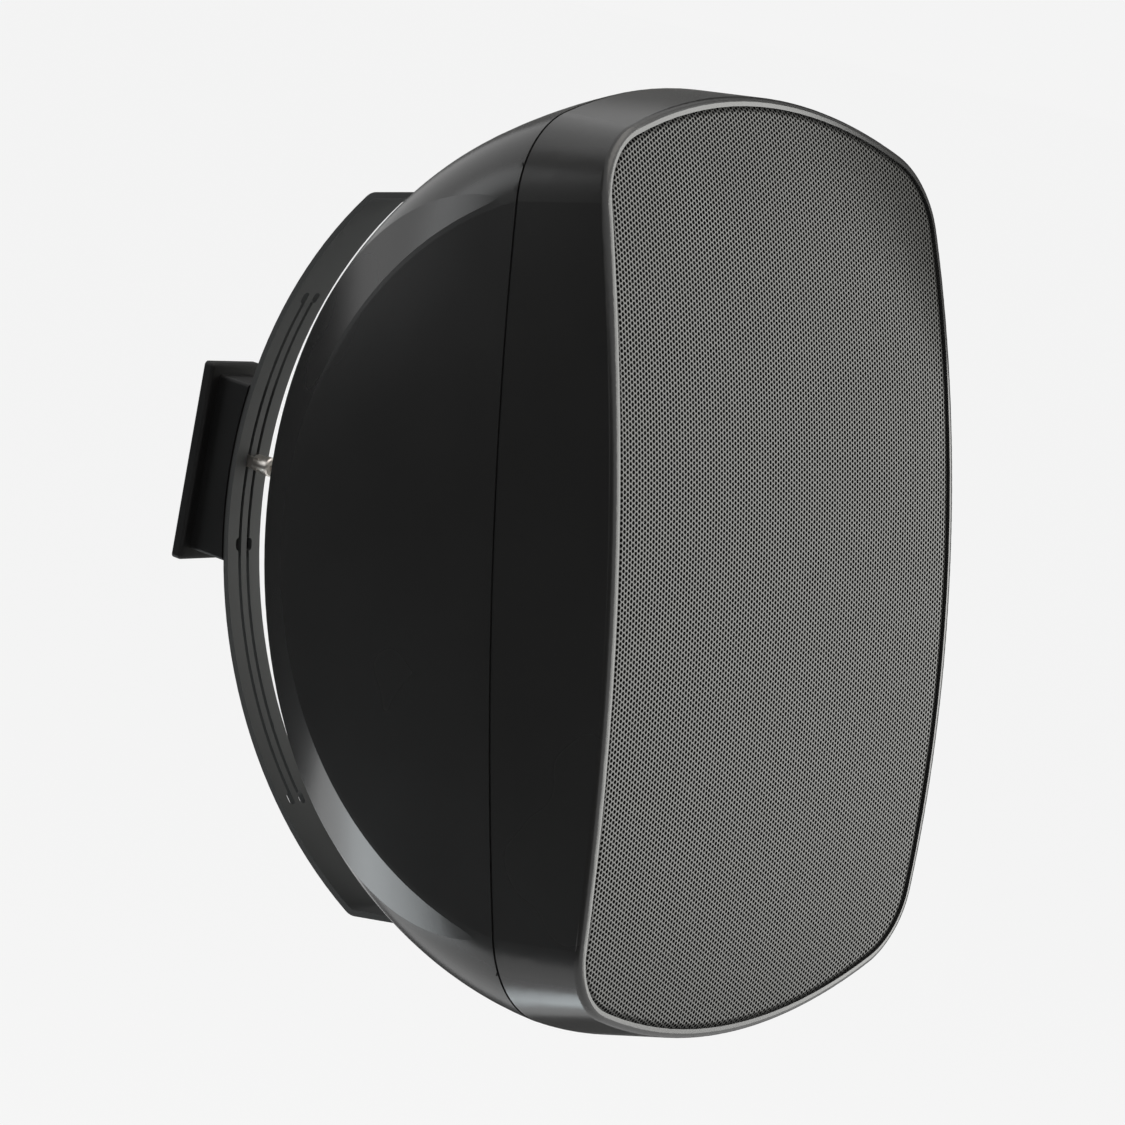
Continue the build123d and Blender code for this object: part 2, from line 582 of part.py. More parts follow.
def woofer_parts():
    front = BAFFLE_Y - WOOFER_FLANGE
    back = BASKET_BACK_Y
    wall = [(basket_radius(BAFFLE_Y), BAFFLE_Y), (basket_radius(back), back),
            (basket_radius(back) - BASKET_WALL, back), (basket_radius(BAFFLE_Y) - BASKET_WALL, BAFFLE_Y)]
    profile = band(WOOFER_OPENING, WOOFER_FLANGE_RADIUS, front, BAFFLE_Y)
    profile += make_face(Polyline(*wall, close=True))
    floor_radius = basket_radius(back) - BASKET_WALL / 2
    profile += band(TOP_PLATE_BORE + BASKET_WALL, floor_radius, back - BASKET_WALL, back)
    ledge_back = SPIDER_Y + LEDGE_THICKNESS
    profile += band(LEDGE_INNER, basket_radius(SPIDER_Y) - BASKET_WALL / 2, SPIDER_Y, ledge_back)
    basket = turned(profile, WOOFER_Z)
    reach = 2 * WOOFER_FLANGE_RADIUS
    half = radians(WINDOW_ANGLE / 2)
    for k in range(BASKET_WINDOWS):
        turn = 360.0 * k / BASKET_WINDOWS
        rise = reach * sin(half)
        wedge = make_face(Polyline((LEDGE_INNER, 0), (reach, rise), (reach, -rise), close=True))
        window = slab(Rot(0, 0, turn) * wedge, BAFFLE_Y + 2 * BASKET_WALL, SPIDER_Y - BASKET_WALL)
        basket -= Pos(0, 0, WOOFER_Z) * window
    for x, z in circle_places(WOOFER_SCREWS, WOOFER_BOLT_CIRCLE, WOOFER_Z):
        basket -= rod(SCREW_RADIUS, front, BAFFLE_Y, x, z)

    neck = COIL_RADIUS + COIL_SHEET
    edge = CONE_RADIUS
    outside = [(edge, CONE_Y), (edge, CONE_Y + PAPER)]
    cone = make_face(Polyline(*outside, (neck, CONE_NECK_Y + PAPER), (neck, CONE_NECK_Y), close=True))
    slope = (CONE_NECK_Y - CONE_Y) / (edge - neck)
    cap_y = CONE_Y + slope * (edge - CAP_RADIUS)
    cap_ball = (CAP_RADIUS ** 2 + CAP_HEIGHT ** 2) / (2 * CAP_HEIGHT)
    cap_centre = cap_y - CAP_HEIGHT + cap_ball
    cap = Pos(0, cap_centre) * (Circle(cap_ball) - Circle(cap_ball - PAPER))
    cap &= Pos(CAP_RADIUS / 2, cap_y - CAP_HEIGHT / 2) * Rectangle(CAP_RADIUS, CAP_HEIGHT)

    roll = (WOOFER_OPENING - CONE_RADIUS - SOFT_GAP) / 2
    surround = Pos(CONE_RADIUS + SOFT_GAP + roll, CONE_Y) * (Circle(roll) - Circle(roll - PAPER))
    surround &= Pos(CONE_RADIUS + SOFT_GAP + roll, CONE_Y - roll / 2) * Rectangle(2 * roll, roll)
    lip = front - WOOFER_GASKET
    plate_back = back + PLATE_THICKNESS
    magnet_back = plate_back + MAGNET_THICKNESS
    pole = band(0, POLE_RADIUS, back, magnet_back)
    pole += band(0, PLATE_RADIUS, magnet_back, magnet_back + PLATE_THICKNESS)
    return {
        "woofer_basket": basket,
        "woofer_gasket": ring(WOOFER_OPENING, WOOFER_GASKET_RADIUS, lip, front, WOOFER_Z),
        "woofer_surround": turned(surround, WOOFER_Z),
        "woofer_cone": turned(cone, WOOFER_Z),
        "woofer_dust_cap": turned(cap, WOOFER_Z),
        "woofer_spider": ring(neck + SOFT_GAP, basket_radius(SPIDER_Y) - 2 * BASKET_WALL,
                              SPIDER_Y - SPIDER_SHEET, SPIDER_Y, WOOFER_Z),
        "woofer_voice_coil": ring(COIL_RADIUS, neck, CONE_NECK_Y, COIL_END_Y, WOOFER_Z),
        "woofer_top_plate": ring(TOP_PLATE_BORE, PLATE_RADIUS, back, plate_back, WOOFER_Z),
        "woofer_magnet": ring(MAGNET_BORE, MAGNET_RADIUS, plate_back, magnet_back, WOOFER_Z),
        "woofer_back_plate": turned(pole, WOOFER_Z),
        "woofer_screws": [screw(x, z, front, BAFFLE_Y + BAFFLE_THICKNESS)
                          for x, z in circle_places(WOOFER_SCREWS, WOOFER_BOLT_CIRCLE, WOOFER_Z)],
    }


def tweeter_parts():
    front = BAFFLE_Y - TWEETER_PLATE
    inner = DOME_RADIUS + DOME_SURROUND
    rim = [(inner + TWEETER_PLATE, front), (TWEETER_RADIUS, front), (TWEETER_RADIUS, BAFFLE_Y)]
    plate = make_face(Polyline(*rim, (inner, BAFFLE_Y), (inner, BAFFLE_Y - TWEETER_PLATE / 4), close=True))
    body = turned(plate, TWEETER_Z)
    places = circle_places(4, TWEETER_BOLT_CIRCLE, TWEETER_Z)
    for x, z in places:
        body -= rod(SCREW_RADIUS, front, BAFFLE_Y, x, z)
    ball = (DOME_RADIUS ** 2 + DOME_HEIGHT ** 2) / (2 * DOME_HEIGHT)
    base = BAFFLE_Y - DOME_SHEET
    dome = Pos(0, base - DOME_HEIGHT + ball) * (Circle(ball) - Circle(ball - DOME_SHEET))
    dome &= Pos(DOME_RADIUS / 2, base - DOME_HEIGHT / 2) * Rectangle(DOME_RADIUS, DOME_HEIGHT)
    can = band(0, TWEETER_CAN_RADIUS, BAFFLE_Y, BAFFLE_Y + TWEETER_CAN_DEPTH)
    can -= band(0, DOME_RADIUS, BAFFLE_Y, BAFFLE_Y + TWEETER_PLATE)
    return {
        "tweeter_plate": body,
        "tweeter_dome": turned(dome, TWEETER_Z),
        "tweeter_surround": ring(DOME_RADIUS + SOFT_GAP, inner, base, BAFFLE_Y, TWEETER_Z),
        "tweeter_magnet": turned(can, TWEETER_Z),
        "tweeter_screws": [screw(x, z, front, BAFFLE_Y + BAFFLE_THICKNESS) for x, z in places],
    }


def terminal_parts():
    seat = TRAY_SEAT_Y + TRAY_GASKET
    rim = Rectangle(TRAY_WIDTH + 2 * TRAY_FLANGE, TRAY_HEIGHT + 2 * TRAY_FLANGE)
    box = Rectangle(TRAY_WIDTH, TRAY_HEIGHT)
    hollow = offset(box, -TRAY_WALL)
    floor = seat - TRAY_DEPTH
    tray = slab(rim, seat, seat + TRAY_WALL) + slab(box, floor, seat)
    tray -= slab(hollow, floor + TRAY_WALL, seat + TRAY_WALL)
    posts = [s * TERMINAL_SPACING / 2 for s in (1, -1)]
    for x in posts:
        tray -= rod(TERMINAL_RADIUS, floor, floor + TRAY_WALL, x)
    gasket = slab(rim - box, TRAY_SEAT_Y, seat)
    for x, z in tray_screws():
        tray -= rod(SCREW_RADIUS, seat, seat + TRAY_WALL, x, z)
        gasket -= rod(SCREW_RADIUS, TRAY_SEAT_Y, seat, x, z)
    collar_top = floor + TRAY_WALL + COLLAR_HEIGHT
    nut_low = collar_top + NUT_CLEARANCE
    nut_high = nut_low + NUT_HEIGHT

    def nut(x):
        plan = Circle(NUT_RADIUS) - Circle(TERMINAL_RADIUS + NUT_CLEARANCE)
        for k in range(NUT_FLUTES):
            turn = Rot(0, 0, 360.0 * k / NUT_FLUTES)
            plan -= turn * Pos(NUT_RADIUS + NUT_RADIUS / 8, 0) * Circle(NUT_RADIUS / 4)
        return Pos(x, 0, 0) * slab(plan, nut_low, nut_high)

    collar = Circle(COLLAR_RADIUS) - Circle(TERMINAL_RADIUS)
    return {
        "terminal_tray": tray,
        "terminal_gasket": gasket,
        "terminal_screws": [screw(x, z, seat + TRAY_WALL, TRAY_SEAT_Y - TRAY_SEAT_WALL, True)
                            for x, z in tray_screws()],
        "terminal_posts": [rod(TERMINAL_RADIUS, floor - TERMINAL_TAIL, nut_high, x) for x in posts],
        "terminal_collars": [Pos(x, 0, 0) * slab(collar, floor + TRAY_WALL, collar_top) for x in posts],
        "thumb_nut_right": nut(posts[0]),
        "thumb_nut_left": nut(posts[1]),
    }


def crossover_parts():
    floor = TRAY_SEAT_Y + TRAY_GASKET - TRAY_DEPTH
    back = floor - SPACER_LENGTH
    front = back - BOARD_THICKNESS
    corners = [(sx * SPACER_X, sz * SPACER_Z) for sx in (1, -1) for sz in (1, -1)]
    coil = Circle(COIL_PART_RADIUS) - Circle(COIL_PART_BORE)
    side = BOARD_WIDTH / 2 - COIL_PART_RADIUS
    low = BOARD_HEIGHT / 2 - CAPACITOR_RADIUS
    can = Cylinder(CAPACITOR_RADIUS, CAPACITOR_LENGTH, rotation=(0, 90, 0))
    return {
        "crossover_board": slab(Rectangle(BOARD_WIDTH, BOARD_HEIGHT), front, back),
        "crossover_spacers": [rod(SPACER_RADIUS, back, floor, x, z) for x, z in corners],
        "crossover_coils": [Pos(s * side, 0, 0) * slab(coil, front - COIL_PART_HEIGHT, front)
                            for s in (1, -1)],
        "crossover_capacitors": [Pos(0, front - CAPACITOR_RADIUS, s * low) * can for s in (1, -1)],
        "crossover_resistor": Pos(0, front - RESISTOR_SIZE[1] / 2, 0) * Box(*RESISTOR_SIZE),
    }


def speaker_parts():
    outer = drum(0) & behind(PARTING_Y)
    outer -= both_sides(crescent_waste())
    seam = front_form(SEAM_DEPTH) - front_form(SEAM_DEPTH + GASKET_WIDTH)
    parts = {
        "rear_shell": rear_shell(outer),
        "front_bezel": front_bezel(),
        "seam_gasket": seam & behind(PARTING_Y - GASKET_THICKNESS),
        "grille": grille(),
        "housing_screws": [screw(x, z, BAFFLE_Y, PARTING_Y + SCREW_BITE) for x, z in post_places()],
        "pivot_bolts": [pivot_bolt(True), pivot_bolt(False)],
        "pivot_washers": [pivot_washer(LANDING_TOP),
                          pivot_washer(LANDING_BOTTOM - WASHER_THICKNESS + PIVOT_CLEARANCE)],
        "pivot_inserts": [pivot_insert(LANDING_TOP - PIVOT_DEPTH), pivot_insert(LANDING_BOTTOM)],
        "mounting_bow": mounting_bow(),
    }
    parts.update(woofer_parts())
    parts.update(tweeter_parts())
    parts.update(terminal_parts())
    parts.update(crossover_parts())
    return parts


def wall_parts():
    return {
        "wall_base": wall_base(),
        "clamp_fork": clamp_fork(),
        "clamp_screw": clamp_screw(),
        "fork_pin": fork_pin(),
    }


def hung():
    """Where the speaker frame stands in the wall frame: the bow touches the base at the clamp."""
    touch_y = BOW_CENTRE_Y + BOW_RADIUS * cos(radians(AIM_UP))
    touch_z = BOW_CENTRE_Z + BOW_RADIUS * sin(radians(AIM_UP))
    return Pos(0, BOW_OUTER_Y, 0) * Rot(-AIM_UP, 0, 0) * Pos(0, -touch_y, -touch_z)


def write(name, shape, place):
    pieces = shape if isinstance(shape, list) else [shape]
    solids = [place * solid for piece in pieces for solid in piece.solids()]
    whole = solids[0] if len(solids) == 1 else Compound(children=solids)
    export_step(whole, f"parts/{name}.step")


def main():
    for name, shape in speaker_parts().items():
        write(name, shape, hung())
    for name, shape in wall_parts().items():
        write(name, shape, Pos(0, 0, 0))


main()
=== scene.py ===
"""Looks of the outdoor patio speaker: punched grille sheet, finishes, studio and camera."""
import math

import bmesh
import bpy
from mathutils import Euler, Matrix, Vector


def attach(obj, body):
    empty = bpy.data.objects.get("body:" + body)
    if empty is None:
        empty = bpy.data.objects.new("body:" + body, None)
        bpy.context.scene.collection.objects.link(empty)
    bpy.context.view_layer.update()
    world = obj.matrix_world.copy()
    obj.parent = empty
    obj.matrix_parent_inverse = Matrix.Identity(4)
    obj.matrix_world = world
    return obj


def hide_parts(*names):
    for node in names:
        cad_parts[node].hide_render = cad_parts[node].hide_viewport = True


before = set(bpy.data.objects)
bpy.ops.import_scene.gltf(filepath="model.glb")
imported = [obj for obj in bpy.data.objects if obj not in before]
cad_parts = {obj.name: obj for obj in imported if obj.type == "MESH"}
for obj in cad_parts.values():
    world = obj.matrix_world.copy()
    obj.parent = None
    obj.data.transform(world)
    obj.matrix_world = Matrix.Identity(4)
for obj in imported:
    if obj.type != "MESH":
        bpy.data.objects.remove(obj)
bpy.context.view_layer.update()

MM = 0.001
scene = bpy.context.scene
scene.view_settings.view_transform = "Standard"

# The speaker's own frame, which the wall frame sees tilted upwards
AIM_UP = math.radians(11.5)
BOW_RADIUS = 183.2 * MM
BOW_CENTRE = Vector((0.0, 105.7 * MM, -7.2 * MM))
BOW_FACE = -19.9 * MM
BOW_TOUCH = BOW_CENTRE + BOW_RADIUS * Vector((0.0, math.cos(AIM_UP), math.sin(AIM_UP)))
SPEAKER = (Matrix.Translation((0, BOW_FACE, 0)) @ Matrix.Rotation(-AIM_UP, 4, "X")
           @ Matrix.Translation(-BOW_TOUCH))

# Punched grille sheet, which is bent about one crosswise axis
SHEET_BEND = 816.07 * MM
SOLID_RECESS = 1.2 * MM
SHEET_RECESS = 0.85 * MM
SOLID_FACE = SHEET_BEND - SOLID_RECESS
SHEET_FACE = SHEET_BEND - SHEET_RECESS
SHEET_THICKNESS = 1.2 * MM
SHEET_BANDS = 4
HOLE_PITCH = 2.0 * MM
HOLE_RADIUS = 0.8 * MM
HOLE_SIDES = 8
CELL_SIDES = 6
COLUMN_SHARE = math.sqrt(3) / 2
SPARE_CELLS = 3
EDGE_REACH = 0.9 * MM
RIM_WIDTH = 2.4 * MM
RIM_DROP = 0.6 * MM
# The rim's colour factor is painted shade that darkens the sheet next to the lip; the roughness factor dulls
# it
RIM_PAINTED_SHADE = 0.4
RIM_ROUGHNESS = 1.7

# How near two points are taken as one
SAME_POINT = 0.001 * MM
SAME_FACE = 0.05 * MM
SAME_CORNER = 0.01 * MM
SHORTEST_EDGE = 0.005 * MM

# Height and reach of the rays that feel for the sheet's outline from above
RAY_HEIGHT = 1.0
RAY_LENGTH = 2.0

# Sockets of a colour Mix node, which share their names with its other kinds
MIX_SHARE, MIX_FIRST, MIX_SECOND, MIX_RESULT = 0, 6, 7, 2


def node(tree, kind, inputs=None, **settings):
    """A new node with its settings, and each input linked or set."""
    made = tree.nodes.new(kind)
    for key, value in settings.items():
        setattr(made, key, value)
    for key, value in (inputs or {}).items():
        if isinstance(value, bpy.types.NodeSocket):
            tree.links.new(value, made.inputs[key])
        else:
            made.inputs[key].default_value = value
    return made


def maths(tree, operation, first, second=0.0):
    return node(tree, "ShaderNodeMath", {0: first, 1: second}, operation=operation).outputs[0]


def compare(tree, operation, first, second):
    return node(tree, "FunctionNodeCompare", {0: first, 1: second}, operation=operation).outputs[0]


def logic(tree, operation, first, second=False):
    return node(tree, "FunctionNodeBooleanMath", {0: first, 1: second}, operation=operation).outputs[0]


def combine(tree, x, y, z):
    return node(tree, "ShaderNodeCombineXYZ", {0: x, 1: y, 2: z}).outputs[0]


def separate(tree, vector):
    return node(tree, "ShaderNodeSeparateXYZ", {0: vector}).outputs


def place_of(tree):
    """The three coordinates of each point of a mesh."""
    return separate(tree, node(tree, "GeometryNodeInputPosition").outputs[0])


def carried(tree, value, source, target, kind="LINEAR"):
    """A value carried from one range to another."""
    return node(tree, "ShaderNodeMapRange", {
        "Value": value, "From Min": source[0], "From Max": source[1],
        "To Min": target[0], "To Max": target[1]}, interpolation_type=kind).outputs[0]


def new_object(name, data):
    made = bpy.data.objects.new(name, data)
    scene.collection.objects.link(made)
    return made


def mesh_of(name, points, faces):
    mesh = bpy.data.meshes.new(name)
    mesh.from_pydata(points, [], faces)
    mesh.update()
    return mesh


# Outline of the sheet, laid flat


def front_edges(bm):
    """Edges round the front face of the grille node's mesh, in the speaker's own frame."""
    front = {v for v in bm.verts
             if abs(math.hypot(v.co.z, SHEET_BEND - v.co.y) - SOLID_FACE) < SAME_FACE}
    faces = {f for f in bm.faces if all(v in front for v in f.verts)}
    return [e for e in bm.edges if sum(f in faces for f in e.link_faces) == 1]


def flat_outline():
    """The grille node's front edge as a closed loop of points, with the bend rolled out."""
    bm = bmesh.new()
    bm.from_mesh(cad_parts["grille"].data)
    bmesh.ops.remove_doubles(bm, verts=bm.verts, dist=SAME_POINT)
    bm.transform(SPEAKER.inverted())
    ways = {}
    for edge in front_edges(bm):
        a, b = edge.verts
        ways.setdefault(a, []).append(b)
        ways.setdefault(b, []).append(a)
    start = max(ways, key=lambda v: v.co.x)
    loop, last, here = [start], start, ways[start][0]
    while here is not start:
        loop.append(here)
        onward = [v for v in ways[here] if v is not last]
        last, here = here, onward[0]
    points = [(v.co.x, SHEET_FACE * math.atan2(v.co.z, SHEET_BEND - v.co.y), 0.0) for v in loop]
    bm.free()
    return points


# Punched sheet


def ring(radius, sides, height):
    """Evenly spaced points on a circle."""
    turns = [2 * math.pi * k / sides for k in range(sides)]
    return [(radius * math.cos(turn), radius * math.sin(turn), height) for turn in turns]


def punched_cell():
    """One six-sided piece of sheet with its hole and the hole's wall."""
    points = ring(HOLE_PITCH / math.sqrt(3), CELL_SIDES, 0.0)
    points += ring(HOLE_RADIUS, HOLE_SIDES, 0.0)
    points += ring(HOLE_RADIUS, HOLE_SIDES, -SHEET_THICKNESS)
    rim = [CELL_SIDES + k for k in range(HOLE_SIDES)]
    faces, i, j = [], 0, 0
    while i < CELL_SIDES or j < HOLE_SIDES:
        outer, inner = i % CELL_SIDES, rim[j % HOLE_SIDES]
        if i < CELL_SIDES and (i + 1) / CELL_SIDES <= (j + 1) / HOLE_SIDES:
            faces.append((outer, (i + 1) % CELL_SIDES, inner))
            i += 1
        else:
            faces.append((outer, rim[(j + 1) % HOLE_SIDES], inner))
            j += 1
    for k in range(HOLE_SIDES):
        a, b = rim[k], rim[(k + 1) % HOLE_SIDES]
        faces.append((a, b, b + HOLE_SIDES, a + HOLE_SIDES))
    return mesh_of("punched_cell", points, faces)


def staggered_points(tree, given):
    """Points in columns, with every other column half a pitch higher."""
    step = maths(tree, "MULTIPLY", given["Pitch"], COLUMN_SHARE)
    wide = maths(tree, "MULTIPLY", step, maths(tree, "SUBTRACT", given["Columns"], 1.0))
    tall = maths(tree, "MULTIPLY", given["Pitch"], maths(tree, "SUBTRACT", given["Rows"], 1.0))
    grid = node(tree, "GeometryNodeMeshGrid", {
        "Size X": wide, "Size Y": tall, "Vertices X": given["Columns"], "Vertices Y": given["Rows"]})
    index = node(tree, "GeometryNodeInputIndex").outputs[0]
    middle = maths(tree, "ADD", index, 0.5)
    column = maths(tree, "FLOOR", maths(tree, "DIVIDE", middle, given["Rows"]))
    odd = maths(tree, "MODULO", column, 2.0)
    shift = maths(tree, "MULTIPLY", odd, maths(tree, "MULTIPLY", given["Pitch"], 0.5))
    return node(tree, "GeometryNodeSetPosition", {
        "Geometry": grid.outputs["Mesh"], "Offset": combine(tree, 0.0, shift, 0.0)}).outputs[0]


def against_outline(tree, outline):
    """Place in the flat sheet, whether it is inside, the nearest edge point and its distance."""
    place = place_of(tree)
    level = combine(tree, place[0], place[1], 0.0)
    above = combine(tree, place[0], place[1], RAY_HEIGHT)
    cast = node(tree, "GeometryNodeRaycast", {
        "Target Geometry": outline, "Source Position": above, "Ray Direction": (0.0, 0.0, -1.0),
        "Ray Length": RAY_LENGTH})
    nearest = node(tree, "GeometryNodeProximity", {0: outline, "Sample Position": level},
                   target_element="EDGES")
    return place, cast.outputs["Is Hit"], nearest.outputs["Position"], nearest.outputs["Distance"]


def set_cells(tree, given, outline):
    """A punched cell on each point that lies in the outline or within reach of it, in one band."""
    cell = node(tree, "GeometryNodeObjectInfo", {"Object": given["Cell"]}).outputs["Geometry"]
    place, inside, _, distance = against_outline(tree, outline)
    wanted = logic(tree, "OR", inside, compare(tree, "LESS_THAN", distance, given["Edge Reach"]))
    over = compare(tree, "GREATER_EQUAL", place[1], given["Low"])
    under = compare(tree, "LESS_THAN", place[1], given["High"])
    for limit in (over, under):
        wanted = logic(tree, "AND", wanted, limit)
    cells = node(tree, "GeometryNodeInstanceOnPoints", {
        "Points": staggered_points(tree, given), "Selection": wanted, "Instance": cell}).outputs[0]
    return node(tree, "GeometryNodeRealizeInstances", {"Geometry": cells}).outputs[0]


def trim_and_roll(tree, given, outline, sheet):
    """What passes the outline is drawn back to it, and the rim is marked and rolled down."""
    place, inside, edge, distance = against_outline(tree, outline)
    edge = separate(tree, edge)
    sheet = node(tree, "GeometryNodeSetPosition", {
        "Geometry": sheet, "Selection": logic(tree, "NOT", inside),
        "Position": combine(tree, edge[0], edge[1], place[2])}).outputs[0]
    sheet = node(tree, "GeometryNodeMergeByDistance", {
        "Geometry": sheet, "Distance": SAME_CORNER}).outputs[0]
    # The rim mark rolls the edge down here, and the grille paint later uses it for painted shade
    rim = carried(tree, distance, (0.0, given["Rim Width"]), (1.0, 0.0), "SMOOTHSTEP")
    sheet = node(tree, "GeometryNodeStoreNamedAttribute", {
        "Geometry": sheet, "Name": "rim", "Value": rim}, data_type="FLOAT", domain="POINT").outputs[0]
    kept = node(tree, "GeometryNodeInputNamedAttribute", {"Name": "rim"}, data_type="FLOAT")
    fall = maths(tree, "MULTIPLY", given["Rim Drop"], -1.0)
    drop = maths(tree, "MULTIPLY", kept.outputs["Attribute"], fall)
    return node(tree, "GeometryNodeSetPosition", {
        "Geometry": sheet, "Offset": combine(tree, 0.0, 0.0, drop)}).outputs[0]


def bend(tree, given, sheet):
    """The flat sheet laid round its bend, with its face forward."""
    flat = place_of(tree)
    turn = maths(tree, "DIVIDE", flat[1], given["Face Radius"])
    radius = maths(tree, "ADD", given["Face Radius"], flat[2])
    forward = maths(tree, "MULTIPLY", radius, maths(tree, "COSINE", turn))
    back = maths(tree, "SUBTRACT", given["Bend Radius"], forward)
    up = maths(tree, "MULTIPLY", radius, maths(tree, "SINE", turn))
    return node(tree, "GeometryNodeSetPosition", {
        "Geometry": sheet, "Position": combine(tree, flat[0], back, up)}).outputs[0]


def sheet_tree():
    """Punched cells in staggered columns, trimmed at the outline and bent."""
    tree = bpy.data.node_groups.new("punched_sheet", "GeometryNodeTree")
    kinds = {
        "Geometry": "NodeSocketGeometry", "Outline": "NodeSocketObject", "Cell": "NodeSocketObject",
        "Pitch": "NodeSocketFloat", "Columns": "NodeSocketInt", "Rows": "NodeSocketInt",
        "Edge Reach": "NodeSocketFloat", "Low": "NodeSocketFloat", "High": "NodeSocketFloat",
        "Bend Radius": "NodeSocketFloat", "Face Radius": "NodeSocketFloat", "Rim Width": "NodeSocketFloat",
        "Rim Drop": "NodeSocketFloat", "Finish": "NodeSocketMaterial",
    }
    for name, kind in kinds.items():
        tree.interface.new_socket(name, in_out="INPUT", socket_type=kind)
    tree.interface.new_socket("Geometry", in_out="OUTPUT", socket_type="NodeSocketGeometry")
    given = node(tree, "NodeGroupInput").outputs
    outline = node(tree, "GeometryNodeObjectInfo", {"Object": given["Outline"]}).outputs["Geometry"]
    sheet = set_cells(tree, given, outline)
    sheet = trim_and_roll(tree, given, outline, sheet)
    sheet = bend(tree, given, sheet)
    sheet = node(tree, "GeometryNodeSetMaterial", {"Geometry": sheet, "Material": given["Finish"]}).outputs[0]
    node(tree, "NodeGroupOutput", {0: sheet})
    return tree


def grow(tree, name, values):
    """Run a Geometry Nodes tree and keep its result as a plain mesh object."""
    maker = new_object(name + "_maker", bpy.data.meshes.new(name + "_seed"))
    modifier = maker.modifiers.new("grow", "NODES")
    modifier.node_group = tree
    for item in tree.interface.items_tree:
        if item.in_out == "INPUT" and item.name in values:
            modifier[item.identifier] = values[item.name]
    scene.view_layers[0].update()
    graph = bpy.context.evaluated_depsgraph_get()
    mesh = bpy.data.meshes.new_from_object(maker.evaluated_get(graph), depsgraph=graph)
    bpy.data.objects.remove(maker)
    mesh.name = name
    return new_object(name, mesh)


def seat_sheet(sheet):
    """Drop the slivers that trimming leaves, and turn the sheet into the wall frame."""
    bm = bmesh.new()
    bm.from_mesh(sheet.data)
    bmesh.ops.dissolve_degenerate(bm, edges=bm.edges, dist=SHORTEST_EDGE)
    bm.transform(SPEAKER)
    bm.to_mesh(sheet.data)
    bm.free()


def grille_sheets(paint):
    """The punched sheet in bands from bottom to top."""
    points = flat_outline()
    outline = new_object("sheet_outline", mesh_of("sheet_outline", points, [tuple(range(len(points)))]))
    cell = new_object("cell", punched_cell())
    tree = sheet_tree()
    half_wide = max(abs(p[0]) for p in points)
    half_tall = max(abs(p[1]) for p in points)
    values = {
        "Outline": outline, "Cell": cell, "Pitch": HOLE_PITCH, "Edge Reach": EDGE_REACH,
        "Columns": 2 * math.ceil(half_wide / (HOLE_PITCH * COLUMN_SHARE)) + SPARE_CELLS,
        "Rows": 2 * math.ceil(half_tall / HOLE_PITCH) + SPARE_CELLS,
        "Bend Radius": SHEET_BEND, "Face Radius": SHEET_FACE,
        "Rim Width": RIM_WIDTH, "Rim Drop": RIM_DROP, "Finish": paint,
    }
    sheets = []
    for k in range(SHEET_BANDS):
        low = half_tall * (2 * k / SHEET_BANDS - 1)
        high = low + 2 * half_tall / SHEET_BANDS
        values["Low"] = low - (HOLE_PITCH if k == 0 else 0.0)
        values["High"] = high + (HOLE_PITCH if k == SHEET_BANDS - 1 else 0.0)
        sheet = grow(tree, f"grille_sheet_{k + 1}", values)
        seat_sheet(sheet)
        sheets.append(sheet)
    for helper in (outline, cell):
        bpy.data.objects.remove(helper)
    return sheets


# Finishes


# Patches are a soft cloud, and the grain is part pebble and part finer noise
PATCH_CLOUD = {"Detail": 2.0, "Roughness": 0.55}
PATCH_RANGE = (0.2, 0.8)
PEBBLE_SHARE = 0.6
FINE_SHARE = 0.4
FINE_SCALE = 1.7
FINE_DETAIL = 2.0


def surface_group():
    """Soft patches and a fine grain over a surface, from its own coordinates."""
    tree = bpy.data.node_groups.new("surface_life", "ShaderNodeTree")
    face = tree.interface
    face.new_socket("Place", in_out="INPUT", socket_type="NodeSocketVector")
    for name in ("Patch Size", "Grain Size"):
        face.new_socket(name, in_out="INPUT", socket_type="NodeSocketFloat")
    for name in ("Patches", "Grain"):
        face.new_socket(name, in_out="OUTPUT", socket_type="NodeSocketFloat")
    given = node(tree, "NodeGroupInput").outputs
    patch_scale = maths(tree, "DIVIDE", 1.0, given["Patch Size"])
    grain_scale = maths(tree, "DIVIDE", 1.0, given["Grain Size"])
    fine_scale = maths(tree, "MULTIPLY", grain_scale, FINE_SCALE)
    cloud = node(tree, "ShaderNodeTexNoise", {
        "Vector": given["Place"], "Scale": patch_scale, **PATCH_CLOUD}).outputs["Fac"]
    patches = carried(tree, cloud, PATCH_RANGE, (0.0, 1.0), "SMOOTHSTEP")
    pebble = node(tree, "ShaderNodeTexVoronoi", {
        "Vector": given["Place"], "Scale": grain_scale}, feature="F1").outputs["Distance"]
    fine = node(tree, "ShaderNodeTexNoise", {
        "Vector": given["Place"], "Scale": fine_scale, "Detail": FINE_DETAIL}).outputs["Fac"]
    pebble = maths(tree, "MULTIPLY", pebble, PEBBLE_SHARE)
    grain = maths(tree, "ADD", pebble, maths(tree, "MULTIPLY", fine, FINE_SHARE))
    node(tree, "NodeGroupOutput", {"Patches": patches, "Grain": grain})
    return tree


SURFACE = surface_group()


